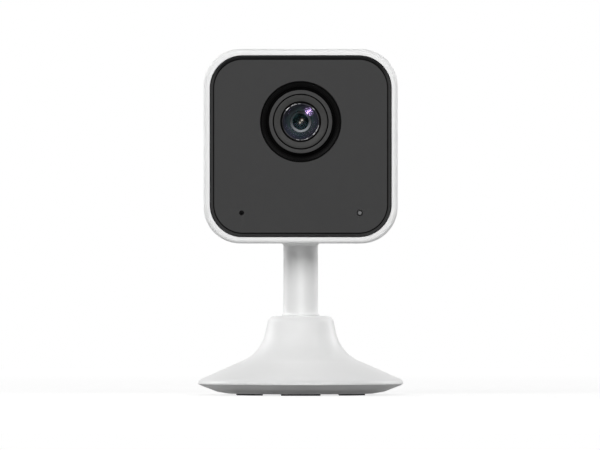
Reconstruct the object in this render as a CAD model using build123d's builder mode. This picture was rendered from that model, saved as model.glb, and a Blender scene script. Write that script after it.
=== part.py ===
from build123d import *
import os

os.makedirs("parts", exist_ok=True)

# Small indoor security camera on a weighted foot. Millimetres. The origin is under the middle
# of the foot, +Z is up, and the lens looks along -Y.

# ---------------------------------------------------------------- driving dimensions
total_height = 103.0

# Head
head_width = 57.8  # also its height: the head is a rounded square
head_corner = 11.0
head_front = -14.7  # depth of the white rim
head_rear = 14.5
head_rear_round = 8.0
rim_round = 1.2
shell_wall = 1.85
rear_wall = 2.0
head_z = total_height - head_width / 2
head_bottom = total_height - head_width

# Front plate and what is stacked behind it, as depths along Y
plate_front = -15.5
plate_back = -13.9
plate_gap = 0.1
plate_corner = 9.7
plate_bevel = 1.27
frame_front = -13.7
frame_back = -12.2
front_board_back = -11.4
main_board_front = 1.5
main_board_back = 2.7
inner_rear = head_rear - rear_wall
lens_z = 81.4
window_radius = 12.1  # the round opening in the plate
eye_z = 54.3  # microphone and status light, low on the plate
eye_x = 17.55

# Screw places: the frame's four and the main board's four
frame_screws_at = [(x, z) for x in (-22, 22) for z in (61.5, 92.5)]
board_screws_at = [(x, z) for x in (-14.5, 14.5) for z in (64, 94.6)]

# Tilt hinge, across the head (along X)
tilt_z = 51.5
knuckle_radius = 5.15
knuckle_half = 4.7
well_half = 5.45  # half the width of the slot that the stem swings in
well_clearance = 0.4
well_wall = 1.6
tilt_down = 20  # degrees that the face can turn down
pin_radius = 1.5
running_gap = 0.05

# Stem and pan pivot
stem_radius = 5.15
spindle_radius = 3.5
stem_flange_radius = 5.6
neck_bottom = 44.4  # where the round column starts to run into the knuckle
neck_top = 47.6

# Foot
foot_radius = 30.6
collar_top = 23.6
foot_wall = 1.8
seam_z = 3.3  # where the foot's shell meets its cover
cover_bottom = 0.45
cover_floor = 1.65
cover_screw_circle = 17
pad_circle = 18

back = (0, 1, 0)
lens_axis = Axis((0, 0, lens_z), (0, 1, 0))
lens_plane = Plane(origin=(0, 0, lens_z), x_dir=(0, 1, 0), z_dir=(1, 0, 0))


# ---------------------------------------------------------------- helpers
def facing(y):
    """A sketch plane square to the line of sight at depth y; it reads as (x, z)."""
    return Plane.XZ.offset(-y)


def block(low, high, mode=Mode.ADD):
    """A box between two opposite corners, in the part being built."""
    with Locations(tuple((a + b) / 2 for a, b in zip(low, high))):
        Box(*[b - a for a, b in zip(low, high)], mode=mode)


def rod(x, z, front, rear, radius, mode=Mode.ADD):
    """A round bar along Y between two depths, in the part being built."""
    with Locations(Location((x, (front + rear) / 2, z), (90, 0, 0))):
        Cylinder(radius, rear - front, mode=mode)


def cross_rod(start, end, radius, mode=Mode.ADD):
    """A round bar along the tilt axis between two values of x, in the part being built."""
    with Locations(Location(((start + end) / 2, 0, tilt_z), (0, 90, 0))):
        Cylinder(radius, end - start, mode=mode)


def turned(plane, *points):
    """The closed outline of a turned piece, as a sketch on a plane that holds its axis."""
    with BuildSketch(plane) as outline:
        with BuildLine():
            Polyline(*points, close=True)
        make_face()
    return outline.sketch


def screw(head_radius, head_height, shank_radius, shank_length, countersunk=False):
    """A cross-head screw that points down -Z, with the underside of its head at the origin."""
    tip = shank_radius * 0.6
    with BuildPart() as body:
        if countersunk:
            with Locations((0, 0, head_height / 2)):
                Cone(shank_radius, head_radius, head_height)
        else:
            with Locations((0, 0, head_height / 2)):
                Cylinder(head_radius, head_height)
        with Locations((0, 0, -shank_length / 2)):
            Cylinder(shank_radius, shank_length)
        chamfer(body.faces().sort_by(Axis.Z)[0].edges(), tip / 2)
        for turn in (0, 90):
            with Locations(Location((0, 0, head_height), (0, 0, turn))):
                Box(head_radius * 1.1, head_radius * 0.26, head_height * 0.9, mode=Mode.SUBTRACT)
    return body.part


# ================================================================ foot (fixed body)
with BuildPart() as base_shell:
    with BuildSketch(Plane.XZ):
        with BuildLine():
            top = Line((4.2, collar_top), (7.6, collar_top))
            shoulder = TangentArc(top @ 1, (9.95, 21.4), tangent=(1, 0))
            waist = Line(shoulder @ 1, (10.6, 18.5))
            flare = TangentArc(waist @ 1, (18.6, 9.71), tangent=waist % 1)
            skirt = Line(flare @ 1, (29.6, 4.86))
            lip = TangentArc(skirt @ 1, (foot_radius, 3.75), tangent=skirt % 1)
            Line(lip @ 1, (foot_radius, seam_z))
            offset(amount=foot_wall, side=Side.RIGHT)
        make_face()
    revolve(axis=Axis.Z)
    split(bisect_by=Plane.XY.offset(seam_z), keep=Keep.TOP)
    # sleeve that holds the pan bush
    with BuildSketch(Plane.XY.offset(15)):
        Circle(6.1)
        Circle(4.2, mode=Mode.SUBTRACT)
    extrude(amount=collar_top - 15 - foot_wall / 2)
    # three posts for the cover's screws
    with BuildSketch(Plane.XY.offset(cover_floor)):
        with PolarLocations(cover_screw_circle, 3):
            Circle(2.3)
    extrude(amount=8.8 - cover_floor)
    with BuildSketch(Plane.XY.offset(cover_floor)):
        with PolarLocations(cover_screw_circle, 3):
            Circle(1.25)
    extrude(amount=5, mode=Mode.SUBTRACT)
base_shell.part.label = "base_shell"

with BuildPart() as pan_bush:
    bush_outline = turned(
        Plane.XZ,
        (spindle_radius + running_gap, 14.0),
        (5.7, 14.0),
        (5.7, 15.0),
        (4.2, 15.0),
        (4.2, collar_top),
        (spindle_radius + running_gap, collar_top),
    )
    revolve(bush_outline, axis=Axis.Z)
pan_bush.part.label = "pan_bush"

with BuildPart() as base_cover:
    cover_outline = turned(
        Plane.XZ,
        (0, cover_bottom),
        (21.6, cover_bottom),
        (24.9, 1.0),
        (29.9, 2.9),
        (foot_radius - 0.15, seam_z),
        (28.7, seam_z),
        (24.7, 2.1),
        (21.5, cover_floor),
        (0, cover_floor),
    )
    revolve(cover_outline, axis=Axis.Z)
    # locating rib just inside the skirt
    with BuildSketch(Plane.XY.offset(2)):
        Circle(27.2)
        Circle(26.3, mode=Mode.SUBTRACT)
    extrude(amount=1.85)
    # countersunk screw holes, entered from below
    with Locations(Plane(origin=(0, 0, cover_bottom), x_dir=(1, 0, 0), z_dir=(0, 0, -1))):
        with PolarLocations(cover_screw_circle, 3):
            CounterSinkHole(radius=1.35, counter_sink_radius=2.5, depth=3)
    # shallow seats for the six rubber pads
    with BuildSketch(Plane.XY.offset(cover_bottom)):
        for turn in range(6):
            pad_arc = CenterArc((0, 0), pad_circle, 60 * turn + 30 - 12.5, 25, mode=Mode.PRIVATE)
            SlotArc(pad_arc, height=4.2)
    extrude(amount=0.3, mode=Mode.SUBTRACT)
base_cover.part.label = "base_cover"

with BuildPart() as foot_pads:
    with BuildSketch(Plane.XY):
        for turn in range(6):
            pad_arc = CenterArc((0, 0), pad_circle, 60 * turn + 30 - 12.5, 25, mode=Mode.PRIVATE)
            SlotArc(pad_arc, height=4)
    extrude(amount=cover_bottom + 0.3)
foot_pads.part.label = "foot_pads"

with BuildPart() as ballast_plate:
    with BuildSketch(Plane.XY.offset(cover_floor)):
        Circle(21.4)
        Circle(7, mode=Mode.SUBTRACT)
        with PolarLocations(cover_screw_circle, 3):
            Circle(2.7, mode=Mode.SUBTRACT)
    extrude(amount=3.2)
    chamfer(ballast_plate.faces().sort_by(Axis.Z)[-1].edges().sort_by(SortBy.RADIUS)[-1], 0.5)
ballast_plate.part.label = "ballast_plate"

cover_screw = screw(2.45, 1.2, 1.25, 4.2, countersunk=True)
with BuildPart() as cover_screws:
    with Locations(Plane(origin=(0, 0, cover_bottom + 1.2), x_dir=(1, 0, 0), z_dir=(0, 0, -1))):
        with PolarLocations(cover_screw_circle, 3):
            add(cover_screw)
cover_screws.part.label = "cover_screws"

# ================================================================ stem (pans on the foot)
with BuildPart() as stem:
    stem_outline = turned(
        Plane.XZ,
        (0, 13.95),
        (spindle_radius - 0.4, 13.95),
        (spindle_radius, 14.35),
        (spindle_radius, collar_top + running_gap),
        (stem_flange_radius, collar_top + running_gap),
        (stem_flange_radius, 24.0),
        (stem_flange_radius - 0.2, 24.2),
        (stem_radius, 24.25),
        (stem_radius, neck_bottom),
        (0, neck_bottom),
    )
    revolve(stem_outline, axis=Axis.Z)
    # the round column runs into a flat-sided knuckle
    with BuildSketch(Plane.XY.offset(neck_bottom)):
        Circle(stem_radius)
    with BuildSketch(Plane.XY.offset(neck_top)):
        RectangleRounded(2 * knuckle_half, 2 * knuckle_radius, 3)
    loft()
    with BuildSketch(Plane.XY.offset(neck_top)):
        RectangleRounded(2 * knuckle_half, 2 * knuckle_radius, 3)
    extrude(amount=tilt_z - neck_top)
    cross_rod(-knuckle_half, knuckle_half, knuckle_radius)
    cross_rod(-knuckle_half, knuckle_half, pin_radius + running_gap, mode=Mode.SUBTRACT)
    # pilot hole for the screw that holds the stem down
    with BuildSketch(Plane.XY.offset(13.95)):
        Circle(1.25)
    extrude(amount=7.5, mode=Mode.SUBTRACT)
stem.part.label = "stem"

with BuildPart() as retaining_washer:
    with BuildSketch(Plane.XY.offset(12.95)):
        Circle(5.3)
        Circle(1.35, mode=Mode.SUBTRACT)
    extrude(amount=1.0)
retaining_washer.part.label = "retaining_washer"

with BuildPart() as pan_screw:
    with Locations(Plane(origin=(0, 0, 12.95), x_dir=(1, 0, 0), z_dir=(0, 0, -1))):
        add(screw(2.9, 1.7, 1.25, 8.0))
pan_screw.part.label = "pan_screw"

# ================================================================ head shell
with BuildPart() as head_form:
    with BuildSketch(facing(head_front)):
        with Locations((0, head_z)):
            RectangleRounded(head_width, head_width, head_corner)
    extrude(amount=head_rear - head_front, dir=back)
    fillet(head_form.faces().sort_by(Axis.Y)[-1].edges(), head_rear_round)
    fillet(head_form.faces().sort_by(Axis.Y)[0].edges(), rim_round)

with BuildPart() as head_cavity:
    with BuildSketch(facing(head_front - 1)):
        with Locations((0, head_z)):
            mouth = head_width - 2 * shell_wall
            RectangleRounded(mouth, mouth, plate_corner + plate_gap)
    extrude(amount=inner_rear - head_front + 1, dir=back)
    fillet(head_cavity.faces().sort_by(Axis.Y)[-1].edges(), head_rear_round - shell_wall)


def well_outline(clearance, below):
    """Side view of the space that the knuckle and the swinging stem need, grown by a clearance."""
    reach = knuckle_radius + clearance
    slope = Vector(0, -1).rotate(Axis.Z, -tilt_down)
    with BuildSketch(Plane.YZ) as outline:
        with BuildLine():
            crown = CenterArc((0, tilt_z), reach, 90, 90 - tilt_down)
            front_foot = crown @ 1 + slope * ((crown @ 1).Y - below) / -slope.Y
            Line(crown @ 1, front_foot)
            Polyline(front_foot, (head_rear + 5, below), (head_rear + 5, tilt_z + reach), crown @ 0)
        make_face()
    return outline.sketch


with BuildPart() as hinge_block:
    extrude(well_outline(well_clearance + well_wall, head_bottom), amount=well_half + well_wall, both=True)
    for side in (-1, 1):
        inner_end = side * (well_half + well_wall)
        outer_end = side * 9.4
        cross_rod(min(inner_end, outer_end), max(inner_end, outer_end), 3.4)
    add(head_form.part, mode=Mode.INTERSECT)
    # low boss under the front of the slot: the stem meets it at full tilt
    with BuildSketch(facing(-10.9)):
        with Locations((0, head_bottom)):
            Trapezoid(11.3, 0.6, 39, rotation=180, align=(Align.CENTER, Align.MIN))
    extrude(amount=4, dir=back)

with BuildPart() as head_shell:
    add(head_form.part)
    add(head_cavity.part, mode=Mode.SUBTRACT)
    add(hinge_block.part)
    extrude(
        well_outline(well_clearance, head_bottom - 5), amount=well_half, both=True, mode=Mode.SUBTRACT
    )
    cross_rod(-9.4, 9.4, pin_radius, mode=Mode.SUBTRACT)
    # posts for the front frame and for the main board, each with a blind pilot hole
    for x, z in frame_screws_at:
        rod(x, z, frame_back, inner_rear + 0.5, 2.6)
        rod(x, z, frame_back, frame_back + 9, 1.0, mode=Mode.SUBTRACT)
    for x, z in board_screws_at:
        rod(x, z, main_board_back, inner_rear + 0.5, 2.2)
        rod(x, z, main_board_back, main_board_back + 6, 0.8, mode=Mode.SUBTRACT)
    # ring that the speaker drops into, and the sound holes behind it
    with BuildSketch(facing(9)):
        with Locations((0, 84)):
            Circle(10.6)
            Circle(9.5, mode=Mode.SUBTRACT)
    extrude(amount=inner_rear - 9 + 0.2, dir=back)
    with BuildSketch(facing(inner_rear - 0.5)):
        with Locations((0, 84)):
            Circle(0.65)
            with PolarLocations(2.4, 6):
                Circle(0.65)
            with PolarLocations(4.8, 12):
                Circle(0.65)
    extrude(amount=rear_wall + 1, dir=back, mode=Mode.SUBTRACT)
    # power inlet: a shallow seat for the plug's moulding, then the socket's own opening
    with BuildSketch(facing(head_rear - 1.2)):
        with Locations((14, 69.5)):
            RectangleRounded(12, 7.6, 2)
    extrude(amount=2, dir=back, mode=Mode.SUBTRACT)
    with BuildSketch(facing(inner_rear - 0.5)):
        with Locations((14, 69.5)):
            RectangleRounded(8, 3.1, 0.7)
    extrude(amount=2, dir=back, mode=Mode.SUBTRACT)
    # hole for the reset button, and the slot for a memory card in the side
    rod(-14, 69.5, inner_rear - 0.5, head_rear + 0.5, 1.5, mode=Mode.SUBTRACT)
    block((-30, 2.8, 75.2), (-26, 4.4, 86.8), mode=Mode.SUBTRACT)
head_shell.part.label = "head_shell"

# ================================================================ front plate and frame
with BuildPart() as front_plate:
    plate_width = mouth - 2 * plate_gap
    with BuildSketch(facing(plate_back)):
        with Locations((0, head_z)):
            RectangleRounded(plate_width, plate_width, plate_corner)
    extrude(amount=plate_back - plate_front, dir=(0, -1, 0))
    front_edges = front_plate.faces().sort_by(Axis.Y)[0].edges()
    chamfer(front_edges, length=0.8, length2=plate_bevel)
    rod(0, lens_z, plate_front - 1, plate_back + 1, window_radius, mode=Mode.SUBTRACT)
    rod(-eye_x, eye_z, plate_front - 1, plate_back + 1, 0.65, mode=Mode.SUBTRACT)
    rod(eye_x, eye_z, plate_front - 1, plate_back + 1, 0.9, mode=Mode.SUBTRACT)
front_plate.part.label = "front_plate"

with BuildPart() as plate_adhesive:
    with BuildSketch(facing(plate_back)):
        with Locations((0, head_z)):
            RectangleRounded(52.2, 52.2, 8.9)
            RectangleRounded(49.4, 49.4, 7.5, mode=Mode.SUBTRACT)
    extrude(amount=frame_front - plate_back, dir=back)
plate_adhesive.part.label = "plate_adhesive"

with BuildPart() as front_frame:
    with BuildSketch(facing(frame_front)):
        with Locations((0, head_z)):
            RectangleRounded(53.2, 53.2, 9.4)
    extrude(amount=frame_back - frame_front, dir=back)
    # stiffening rib behind the edge
    with BuildSketch(facing(frame_back)):
        with Locations((0, head_z)):
            RectangleRounded(52.4, 52.4, 9)
            RectangleRounded(50.4, 50.4, 8, mode=Mode.SUBTRACT)
    extrude(amount=2.4, dir=back)
    # seat and opening for the lens funnel
    rod(0, lens_z, frame_front - 1, frame_front + 0.6, 13.5, mode=Mode.SUBTRACT)
    rod(0, lens_z, frame_front, frame_back + 1, 12.5, mode=Mode.SUBTRACT)
    # windows for the two infrared lamps, the microphone and the light pipe
    for side in (-1, 1):
        block(
            (side * 16.3 - 1.9, frame_front - 1, lens_z - 1.9),
            (side * 16.3 + 1.9, frame_back + 1, lens_z + 1.9),
            mode=Mode.SUBTRACT,
        )
    rod(-eye_x, eye_z, frame_front - 1, frame_back + 1, 2.0, mode=Mode.SUBTRACT)
    rod(eye_x, eye_z, frame_front - 1, frame_back + 1, 1.5, mode=Mode.SUBTRACT)
    with Locations(facing(frame_front)):
        with Locations(frame_screws_at):
            CounterBoreHole(radius=1.2, counter_bore_radius=2.4, counter_bore_depth=0.9, depth=3)
    # the frame is notched at the bottom, clear of the hinge well's lip
    block((-8.2, frame_back, head_bottom), (8.2, frame_back + 4, 50), mode=Mode.SUBTRACT)
front_frame.part.label = "front_frame"

frame_screw = screw(2.2, 0.8, 1.0, 7.5)
with BuildPart() as frame_screws:
    with Locations(facing(frame_front + 0.9)):
        with Locations(frame_screws_at):
            add(frame_screw)
frame_screws.part.label = "frame_screws"

# ================================================================ lens
with BuildPart() as lens_bezel:
    bezel_outline = turned(
        lens_plane,
        (-15.35, 12.0),
        (-15.35, 11.75),
        (-12.9, 9.75),
        (-12.9, 9.5),
        (-11.9, 9.5),
        (-11.9, 12.3),
        (-13.1, 12.3),
        (-13.1, 13.4),
        (-13.7, 13.4),
        (-13.9, 13.4),
        (-13.9, 12.0),
    )
    revolve(bezel_outline, axis=lens_axis)
lens_bezel.part.label = "lens_bezel"

with BuildPart() as lens_ring:
    ring_outline = turned(
        lens_plane,
        (-15.0, 9.4),
        (-15.2, 9.2),
        (-15.2, 8.45),
        (-15.1, 8.35),
        (-11.2, 8.35),
        (-11.2, 10.6),
        (-11.9, 10.6),
        (-11.9, 9.4),
    )
    revolve(ring_outline, axis=lens_axis)
lens_ring.part.label = "lens_ring"

with BuildPart() as lens_barrel:
    barrel_outline = turned(
        lens_plane,
        (-15.1, 8.1),
        (-15.1, 7.4),
        (-13.9, 7.4),
        (-13.9, 6.3),
        (-12.7, 6.3),
        (-12.7, 4.9),
        (-4.2, 4.9),
        (-4.2, 3.2),
        (-3.0, 3.2),
        (-3.0, 5.7),
        (-3.3, 6.0),
        (-9.7, 6.0),
        (-9.7, 7.2),
        (-10.9, 7.2),
        (-10.9, 8.1),
    )
    revolve(barrel_outline, axis=lens_axis)
lens_barrel.part.label = "lens_barrel"

with BuildPart() as retaining_ring:
    retaining_outline = turned(
        lens_plane, (-15.1, 7.4), (-15.1, 6.75), (-14.25, 6.0), (-13.9, 6.0), (-13.9, 7.4)
    )
    revolve(retaining_outline, axis=lens_axis)
retaining_ring.part.label = "retaining_ring"

# glass: a meniscus in front, a biconvex element behind it, and a thick one behind the stop
def domed_glass(front, rear, radius, front_curve, rear_curve=None):
    """A round glass whose faces bulge forwards and, if it has a rear curve, backwards."""
    rod(0, lens_z, front, rear, radius)
    with Locations((0, front + front_curve, lens_z)):
        Sphere(front_curve, mode=Mode.INTERSECT)
    if rear_curve:
        with Locations((0, rear - rear_curve, lens_z)):
            Sphere(rear_curve, mode=Mode.INTERSECT)


with BuildPart() as front_element:
    domed_glass(-15.05, -12.7, 5.98, 16.1)
    rod(0, lens_z, -13.9, -12.7, 6.3)
    with Locations((0, -8.4, lens_z)):
        Sphere(5.8, mode=Mode.SUBTRACT)
front_element.part.label = "front_element"

with BuildPart() as middle_element:
    domed_glass(-12.6, -10.2, 4.3, 15.8, 23.4)
    rod(0, lens_z, -12.0, -10.6, 4.9)
middle_element.part.label = "middle_element"

with BuildPart() as rear_element:
    domed_glass(-8.9, -4.4, 4.2, 11.5, 15.1)
    rod(0, lens_z, -8.1, -5.0, 4.9)
rear_element.part.label = "rear_element"

with BuildPart() as lens_spacers:
    spacer_runs = [(-12.7, -12.0, 4.35), (-9.8, -8.1, 4.35), (-5.0, -4.2, 4.25)]
    for start, end, hole in spacer_runs:
        rod(0, lens_z, start, end, 4.9)
        rod(0, lens_z, start - 0.01, end + 0.01, hole, mode=Mode.SUBTRACT)
lens_spacers.part.label = "lens_spacers"

with BuildPart() as aperture_stop:
    stop_outline = turned(
        lens_plane, (-10.6, 4.9), (-10.6, 4.4), (-10.0, 4.2), (-10.0, 1.3), (-9.8, 1.5), (-9.8, 4.9)
    )
    revolve(stop_outline, axis=lens_axis)
aperture_stop.part.label = "aperture_stop"

with BuildPart() as lens_holder:
    with BuildSketch(facing(-3.6)):
        with Locations((0, lens_z)):
            RectangleRounded(23.4, 13.4, 1.5)
    extrude(amount=main_board_front + 3.6, dir=back)
    rod(0, lens_z, -9.5, -3.6, 8.0)
    rod(0, lens_z, -10, -2.6, 6.05, mode=Mode.SUBTRACT)
    rod(0, lens_z, -3, 0, 4.2, mode=Mode.SUBTRACT)
    # channel for the sliding filter, then the well over the sensor with ledges left between
    block((-10.4, -1.2, lens_z - 4.4), (10.4, -0.3, lens_z + 4.4), mode=Mode.SUBTRACT)
    block((-10.4, -0.4, lens_z - 3.75), (10.4, 2, lens_z + 3.75), mode=Mode.SUBTRACT)
    # four ribs brace the threaded collar
    for side in (-1, 1):
        block((side * 9 - 1.6, -6.5, lens_z - 0.6), (side * 9 + 1.6, -3.6, lens_z + 0.6))
lens_holder.part.label = "lens_holder"

# infrared filter that slides aside at night: it has one filter pane and one clear pane
filter_y = (-1.15, -0.35)
pane_at = (0, 6.6)
with BuildPart() as filter_carriage:
    block((-3.5, filter_y[0], lens_z - 4.35), (10.1, filter_y[1], lens_z + 4.35))
    for x in pane_at:
        block((x - 2.8, -2, lens_z - 3.1), (x + 2.8, 0, lens_z + 3.1), mode=Mode.SUBTRACT)
filter_carriage.part.label = "filter_carriage"

with BuildPart() as filter_panes:
    for x in pane_at:
        block((x - 2.8, -1.0, lens_z - 3.1), (x + 2.8, -0.5, lens_z + 3.1))
filter_panes.part.label = "filter_panes"

with BuildPart() as filter_coil:
    with Locations(Location((5.2, -1.6, lens_z + 9.0), (0, 90, 0))):
        Cylinder(2.3, 5)
    block((2.0, -3.5, lens_z + 6.7), (2.7, main_board_front, lens_z + 11.3))
    block((7.7, -3.5, lens_z + 6.7), (8.4, main_board_front, lens_z + 11.3))
filter_coil.part.label = "filter_coil"

# ================================================================ main board
with BuildPart() as main_board:
    with BuildSketch(facing(main_board_front)):
        with Locations((0, 79.5)):
            Rectangle(49, 36)
        for x, z in frame_screws_at:
            with Locations((x + (1.5 if x > 0 else -1.5), z)):
                Rectangle(9.2, 7, mode=Mode.SUBTRACT)
        with Locations(board_screws_at):
            Circle(1.0, mode=Mode.SUBTRACT)
    extrude(amount=main_board_back - main_board_front, dir=back)
main_board.part.label = "main_board"

board_screw = screw(1.9, 1.1, 0.8, 5.5)
with BuildPart() as board_screws:
    with Locations(facing(main_board_front)):
        with Locations(board_screws_at):
            add(board_screw)
board_screws.part.label = "board_screws"

with BuildPart() as image_sensor:
    block((-4.5, 0.6, lens_z - 3.5), (4.5, main_board_front, lens_z + 3.5))
    block((-3.9, 0.5, lens_z - 2.9), (3.9, 0.6, lens_z + 2.9))
image_sensor.part.label = "image_sensor"

with BuildPart() as processor:
    block((-4, main_board_back, 70.5), (8, main_board_back + 1.2, 82.5))
processor.part.label = "processor"

with BuildPart() as thermal_pad:
    block((-4, main_board_back + 1.2, 70.5), (8, main_board_back + 1.7, 82.5))
thermal_pad.part.label = "thermal_pad"

with BuildPart() as heat_spreader:
    block((-8, main_board_back + 1.7, 68), (9, main_board_back + 2.7, 90))
    for step in range(5):
        x = -7.2 + step * 3.7
        block((x, main_board_back + 2.7, 68), (x + 0.9, main_board_back + 4.4, 73.5))
heat_spreader.part.label = "heat_spreader"

with BuildPart() as wifi_module:
    block((10.5, main_board_back, 74.5), (22.5, main_board_back + 0.8, 89.4))
    block((11.3, main_board_back + 0.8, 75.3), (21.7, main_board_back + 2.4, 84.5))
wifi_module.part.label = "wifi_module"

with BuildPart() as card_socket:
    block((-26.7, main_board_back, 74.5), (-11.7, main_board_back + 1.9, 87.5))
    block((-27.7, main_board_back + 0.3, 75.5), (-12.5, main_board_back + 1.5, 86.5), mode=Mode.SUBTRACT)
card_socket.part.label = "card_socket"

with BuildPart() as usb_socket:
    with BuildSketch(facing(main_board_back)):
        with Locations((14, 69.5)):
            RectangleRounded(7.5, 2.7, 0.5)
    extrude(amount=13.2 - main_board_back, dir=back)
    with BuildSketch(facing(8.2)):
        with Locations((14, 69.5)):
            RectangleRounded(6.9, 2.1, 0.3)
    extrude(amount=6, dir=back, mode=Mode.SUBTRACT)
    block((11.8, 8.2, 69.3), (16.2, 12.6, 69.9))
usb_socket.part.label = "usb_socket"

with BuildPart() as reset_switch:
    block((-17, main_board_back, 66.5), (-11, 7.2, 72.5))
    rod(-14, 69.5, 7.2, 8.3, 1.6)
reset_switch.part.label = "reset_switch"

# ================================================================ front board and its parts
with BuildPart() as front_board:
    with BuildSketch(facing(frame_back)):
        with Locations((0, 74.25)):
            RectangleRounded(38, 47.5, 3)
        with Locations((0, lens_z)):
            Circle(13.0, mode=Mode.SUBTRACT)
        with Locations((0, 56)):
            RectangleRounded(24, 16, 2, mode=Mode.SUBTRACT)
    extrude(amount=front_board_back - frame_back, dir=back)
front_board.part.label = "front_board"

with BuildPart() as ir_leds:
    for side in (-1, 1):
        block(
            (side * 16.3 - 1.5, frame_back - 0.9, lens_z - 1.5),
            (side * 16.3 + 1.5, frame_back, lens_z + 1.5),
        )
        rod(side * 16.3, lens_z, frame_back - 1.3, frame_back - 0.9, 1.1)
ir_leds.part.label = "ir_leds"

with BuildPart() as status_led:
    block((eye_x - 0.8, frame_back - 0.7, eye_z - 0.4), (eye_x + 0.8, frame_back, eye_z + 0.4))
status_led.part.label = "status_led"

with BuildPart() as light_pipe:
    rod(eye_x, eye_z, plate_front + 0.15, frame_front, 0.52)
    rod(eye_x, eye_z, frame_front, frame_back - 0.7, 1.4)
light_pipe.part.label = "light_pipe"

with BuildPart() as microphone:
    block((-eye_x - 1.35, frame_back - 0.9, eye_z - 1.35), (-eye_x + 1.35, frame_back, eye_z + 1.35))
microphone.part.label = "microphone"

with BuildPart() as mic_gasket:
    rod(-eye_x, eye_z, plate_back, frame_back - 0.9, 1.9)
    rod(-eye_x, eye_z, plate_back - 1, frame_back, 0.45, mode=Mode.SUBTRACT)
mic_gasket.part.label = "mic_gasket"

# flat ribbon from the front board over to the main board, with a socket at each end
with BuildPart() as ribbon_sockets:
    block((-5, front_board_back, 94.4), (5, front_board_back + 1.3, 97))
    block((-5, main_board_front - 1.3, 93.4), (5, main_board_front, 96))
ribbon_sockets.part.label = "ribbon_sockets"

with BuildPart() as board_ribbon:
    with BuildSketch(Plane.YZ):
        with BuildLine():
            FilletPolyline(
                (front_board_back + 0.65, 97),
                (front_board_back + 0.65, 98.9),
                (main_board_front - 0.65, 98.9),
                (main_board_front - 0.65, 96),
                radius=1.4,
            )
            offset(amount=0.25, side=Side.RIGHT)
        make_face()
    extrude(amount=4, both=True)
board_ribbon.part.label = "board_ribbon"

# ================================================================ speaker and reset button
with BuildPart() as speaker:
    rod(0, 84, 10.4, 12.1, 9.4)
    rod(0, 84, 8.4, 10.4, 7.0)
    rod(0, 84, 11.7, 12.2, 7.6, mode=Mode.SUBTRACT)
    with Locations(Location((0, 11.7, 84), (-90, 0, 0))):
        Cone(3.4, 2.0, 0.6, align=(Align.CENTER, Align.CENTER, Align.CENTER), mode=Mode.SUBTRACT)
speaker.part.label = "speaker"

with BuildPart() as speaker_gasket:
    rod(0, 84, 12.1, inner_rear, 9.4)
    rod(0, 84, 12, inner_rear + 0.1, 7.7, mode=Mode.SUBTRACT)
speaker_gasket.part.label = "speaker_gasket"

with BuildPart() as reset_button:
    rod(-14, 69.5, 8.9, head_rear - 0.3, 1.2)
    rod(-14, 69.5, 11.6, inner_rear - 0.1, 2.1)
    fillet(reset_button.faces().sort_by(Axis.Y)[-1].edges(), 0.35)
reset_button.part.label = "reset_button"

# ================================================================ tilt hinge fastenings
with BuildPart() as tilt_pin:
    cross_rod(-9.4, 12.2, pin_radius)
    cross_rod(-11.0, -9.4, 2.8)
    fillet(tilt_pin.faces().sort_by(Axis.X)[0].edges(), 0.5)
    with Locations((-11.0, 0, tilt_z)):
        Box(1.4, 4.2, 0.7, mode=Mode.SUBTRACT)
tilt_pin.part.label = "tilt_pin"

with BuildPart() as tilt_nut:
    with BuildSketch(Plane.YZ.offset(9.4)):
        with Locations((0, tilt_z)):
            RegularPolygon(3.1, 6)
            Circle(pin_radius, mode=Mode.SUBTRACT)
    extrude(amount=2.4)
tilt_nut.part.label = "tilt_nut"

with BuildPart() as friction_washers:
    for side in (-1, 1):
        ends = sorted((side * (knuckle_half + running_gap), side * well_half))
        cross_rod(*ends, 3.6)
    cross_rod(-well_half - 1, well_half + 1, pin_radius + 0.03, mode=Mode.SUBTRACT)
friction_washers.part.label = "friction_washers"

# ================================================================ write the pieces
pieces = [
    base_shell,
    pan_bush,
    base_cover,
    foot_pads,
    ballast_plate,
    cover_screws,
    stem,
    retaining_washer,
    pan_screw,
    head_shell,
    front_plate,
    plate_adhesive,
    front_frame,
    frame_screws,
    lens_bezel,
    lens_ring,
    lens_barrel,
    retaining_ring,
    front_element,
    middle_element,
    rear_element,
    lens_spacers,
    aperture_stop,
    lens_holder,
    filter_carriage,
    filter_panes,
    filter_coil,
    main_board,
    board_screws,
    image_sensor,
    processor,
    thermal_pad,
    heat_spreader,
    wifi_module,
    card_socket,
    usb_socket,
    reset_switch,
    front_board,
    ir_leds,
    status_led,
    light_pipe,
    microphone,
    mic_gasket,
    ribbon_sockets,
    board_ribbon,
    speaker,
    speaker_gasket,
    reset_button,
    tilt_pin,
    tilt_nut,
    friction_washers,
]
for piece in pieces:
    export_step(piece.part, f"parts/{piece.part.label}.step")
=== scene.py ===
import math

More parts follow.
